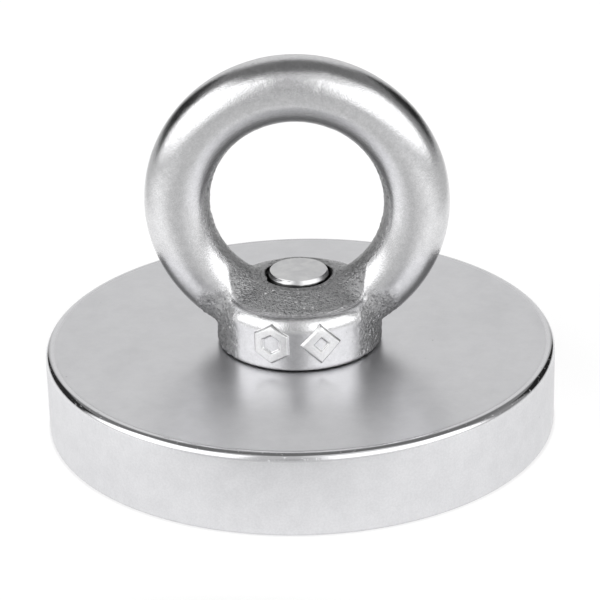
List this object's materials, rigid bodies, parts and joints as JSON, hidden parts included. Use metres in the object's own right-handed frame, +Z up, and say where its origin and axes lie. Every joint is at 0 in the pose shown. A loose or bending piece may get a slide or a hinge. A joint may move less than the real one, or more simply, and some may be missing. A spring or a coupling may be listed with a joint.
{
  "type": "magnet fishing magnet",
  "caption": "Round nickel-plated pot magnet with a cast ring eye nut held by a countersunk screw, for a rope to pull steel out of water.",
  "frame": {"origin": "centre of the pole face, on the plane of the pot's rim that the magnet stands on", "axes": "+Z up the screw's axis through the eye, +X across the eye's ring, +Y through the ring's hole; the marks on the collar face -Y"},
  "size_m": [0.06, 0.06, 0.0449],
  "materials": {
    "nickel_plated_steel": "satin nickel plate with fine handling scratches",
    "nickel_plated_magnet": "bright nickel plate",
    "adhesive": "cured adhesive",
    "black_resin": "cast epoxy, slightly glossy",
    "brass": "turned brass",
    "zinc_plated_steel": "satin",
    "cast_stainless_steel": "polished casting with pitted skin where the polish doesn't reach"
  },
  "bodies": {
    "pot": {"steel_cup": "nickel_plated_steel", "ring_magnet": "nickel_plated_magnet", "bond_layer": "adhesive", "outer_resin_ring": "black_resin", "inner_resin_ring": "black_resin", "centre_bush": "brass"},
    "screw": {"countersunk_screw": "zinc_plated_steel"},
    "eye": {"eye_nut": "cast_stainless_steel"}
  },
  "joints": [
    {"name": "screw_turn", "type": "hinge", "parent": "pot", "child": "screw", "pos_m": [0, 0, 0.0008], "axis": [0, 0, -1], "range_deg": [0, 2520]},
    {"name": "eye_rise", "type": "slide", "parent": "pot", "child": "eye", "axis": [0, 0, 1], "range_m": [0, 0.00875]}
  ],
  "couplings": [
    {"joint": "screw_turn", "follows": "eye_rise", "rad_per_m": 5026.5}
  ]
}
